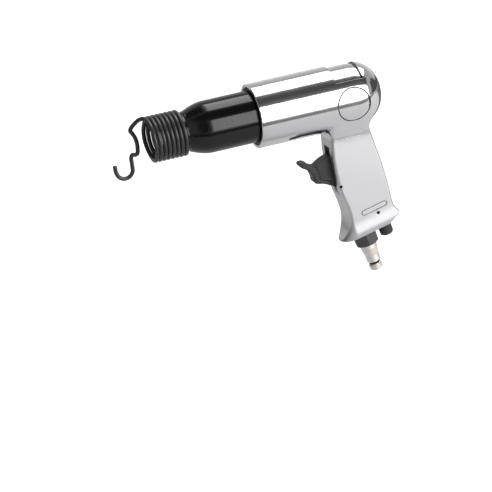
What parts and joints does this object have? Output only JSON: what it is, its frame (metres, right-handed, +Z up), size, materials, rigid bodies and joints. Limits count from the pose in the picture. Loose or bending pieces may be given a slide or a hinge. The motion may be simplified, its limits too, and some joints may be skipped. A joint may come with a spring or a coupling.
{
  "type": "pneumatic air hammer",
  "caption": "Pistol-grip air hammer with a piston in a barrel, a shuttle valve, a tilt throttle valve worked by a trigger, an air regulator and a coil-spring chisel retainer.",
  "frame": {"origin": "centre of the barrel's muzzle face, on the axis of the bore that takes the chisel's shank", "axes": "+X forward out of the muzzle along the barrel, +Y to the tool's left, +Z up from the grip towards the barrel"},
  "size_m": [0.2116, 0.049, 0.1659],
  "materials": {
    "polished_aluminium": "polished",
    "blackened_steel": "glossy black oxide",
    "blackened_spring": "satin black oxide",
    "bright_steel": "ground",
    "brass": "turned",
    "nickel_plate": "satin nickel plate",
    "black_plastic": "moulded",
    "rubber": "moulded"
  },
  "bodies": {
    "root": {"housing": "polished_aluminium", "side_badge": "polished_aluminium", "barrel": "blackened_steel", "barrel_o_ring": "rubber", "exhaust_deflector": "black_plastic", "retainer_spring": "blackened_spring", "valve_seat_plate": "bright_steel", "valve_cover": "bright_steel", "valve_spring_washer": "bright_steel", "valve_dowels": "bright_steel", "trigger_pin": "bright_steel", "throttle_bushing": "brass", "throttle_o_ring": "rubber", "valve_seat_bushing": "brass", "seat_o_ring": "rubber", "throttle_spring": "bright_steel", "inlet_bushing": "blackened_steel", "inlet_washer": "brass", "inlet_screen": "bright_steel", "air_plug": "nickel_plate", "regulator_pin": "bright_steel"},
    "piston": {"piston": "bright_steel"},
    "shuttle": {"valve_disc": "bright_steel"},
    "trigger": {"trigger": "black_plastic"},
    "throttle_pin": {"throttle_pin": "bright_steel"},
    "tilt_valve": {"tilt_valve": "bright_steel", "tilt_valve_face": "rubber"},
    "regulator": {"regulator_spool": "bright_steel", "regulator_knob": "black_plastic", "regulator_o_rings": "rubber"}
  },
  "joints": [
    {"name": "piston_stroke", "type": "slide", "parent": "root", "child": "piston", "axis": [1, 0, 0], "range_m": [0, 0.041]},
    {"name": "shuttle_stroke", "type": "slide", "parent": "root", "child": "shuttle", "axis": [-1, 0, 0], "range_m": [0, 0.0008]},
    {"name": "trigger_pull", "type": "hinge", "parent": "root", "child": "trigger", "pos_m": [-0.1244, 0, -0.066], "axis": [0, -1, 0], "range_deg": [0, 11.5], "stiffness_Nm_per_rad": 0.06, "springref_deg": -20.05},
    {"name": "throttle_pin_slide", "type": "slide", "parent": "root", "child": "throttle_pin", "axis": [-1, 0, 0], "range_m": [0, 0.00205]},
    {"name": "tilt_valve_tip", "type": "hinge", "parent": "root", "child": "tilt_valve", "pos_m": [-0.13395, 0, -0.08192], "axis": [0, -1, 0], "range_deg": [0, 4.6], "deforming": ["throttle_spring"]},
    {"name": "regulator_turn", "type": "hinge", "parent": "root", "child": "regulator", "pos_m": [-0.15786, 0, -0.10411], "axis": [0.225, 0, 0.9744], "continuous": true}
  ],
  "couplings": [
    {"joint": "throttle_pin_slide", "follows": "trigger_pull", "m_per_rad": 0.01},
    {"joint": "tilt_valve_tip", "follows": "trigger_pull", "ratio": 0.39}
  ]
}
